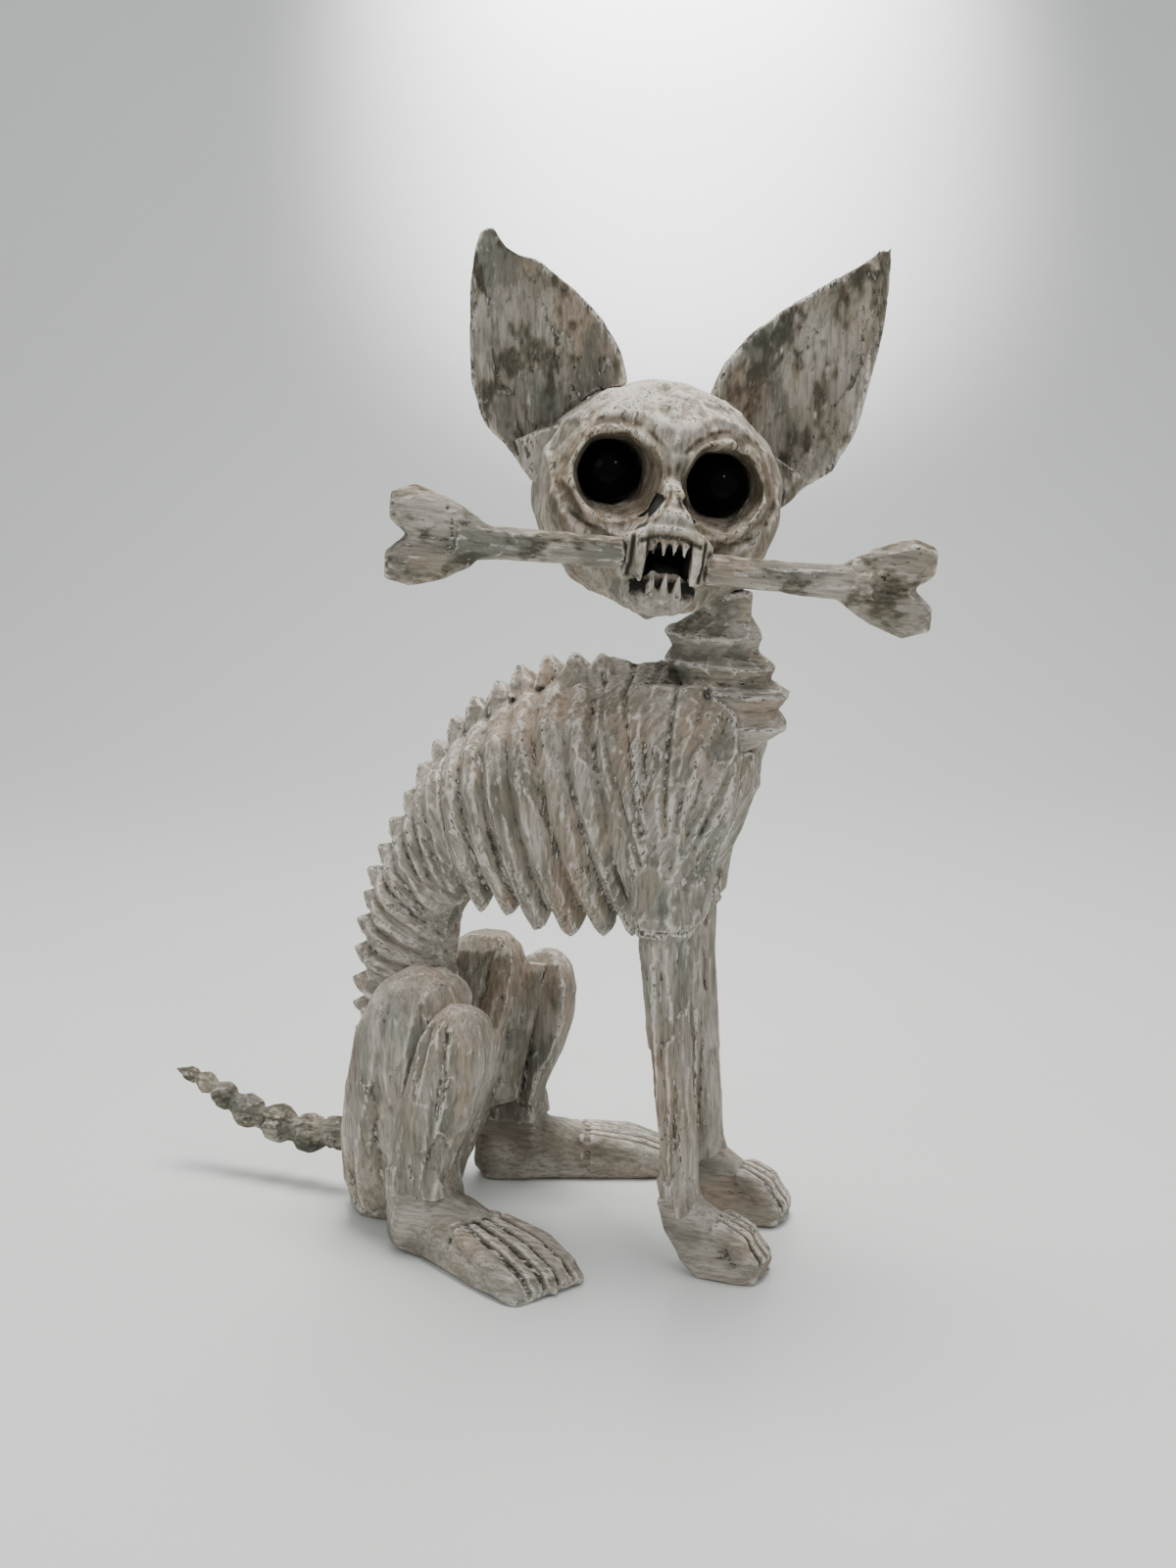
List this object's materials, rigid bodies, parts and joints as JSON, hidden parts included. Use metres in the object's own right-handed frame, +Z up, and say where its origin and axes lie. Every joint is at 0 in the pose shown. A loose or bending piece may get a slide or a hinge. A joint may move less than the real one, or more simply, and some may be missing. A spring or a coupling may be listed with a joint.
{
  "type": "carved skeleton dog figure",
  "caption": "Seated skeleton dog carved from whitewashed wood, with large ears and a bone across its mouth; the head and the beaded tail turn on dowels.",
  "frame": {"origin": "middle of the seat's flat underside, on the floor", "axes": "+X is the way the body faces, +Y is the dog's left side, +Z is up"},
  "size_m": [0.5112, 0.303, 0.5992],
  "materials": {
    "whitewashed_wood": "matt, worn whitewash over dark wood",
    "dowel_wood": "bare",
    "black_glass": "gloss"
  },
  "bodies": {
    "body": {"ribcage": "whitewashed_wood", "waist": "whitewashed_wood", "pelvis": "whitewashed_wood", "neck": "whitewashed_wood", "trunk_dowels": "dowel_wood", "leg_dowels": "dowel_wood", "right_shoulder": "whitewashed_wood", "right_foreleg": "whitewashed_wood", "right_front_paw": "whitewashed_wood", "right_thigh": "whitewashed_wood", "right_shin": "whitewashed_wood", "right_hind_foot": "whitewashed_wood", "left_shoulder": "whitewashed_wood", "left_foreleg": "whitewashed_wood", "left_front_paw": "whitewashed_wood", "left_thigh": "whitewashed_wood", "left_shin": "whitewashed_wood", "left_hind_foot": "whitewashed_wood"},
    "head": {"skull": "whitewashed_wood", "lower_jaw": "whitewashed_wood", "right_ear": "whitewashed_wood", "left_ear": "whitewashed_wood", "right_eye": "black_glass", "left_eye": "black_glass", "bone_right_half": "whitewashed_wood", "bone_left_half": "whitewashed_wood", "head_dowel": "dowel_wood", "jaw_dowels": "dowel_wood", "ear_dowels": "dowel_wood", "bone_dowels": "dowel_wood"},
    "tail": {"tail": "whitewashed_wood", "tail_dowel": "dowel_wood"}
  },
  "joints": [
    {"name": "head_turn", "type": "hinge", "parent": "body", "child": "head", "pos_m": [0.205, 0, 0.394], "axis": [0, 0, 1], "range_deg": [-30, 30]},
    {"name": "tail_turn", "type": "hinge", "parent": "body", "child": "tail", "pos_m": [-0.0404, 0, 0.038], "axis": [-1, 0, 0], "range_deg": [-40, 40]}
  ]
}
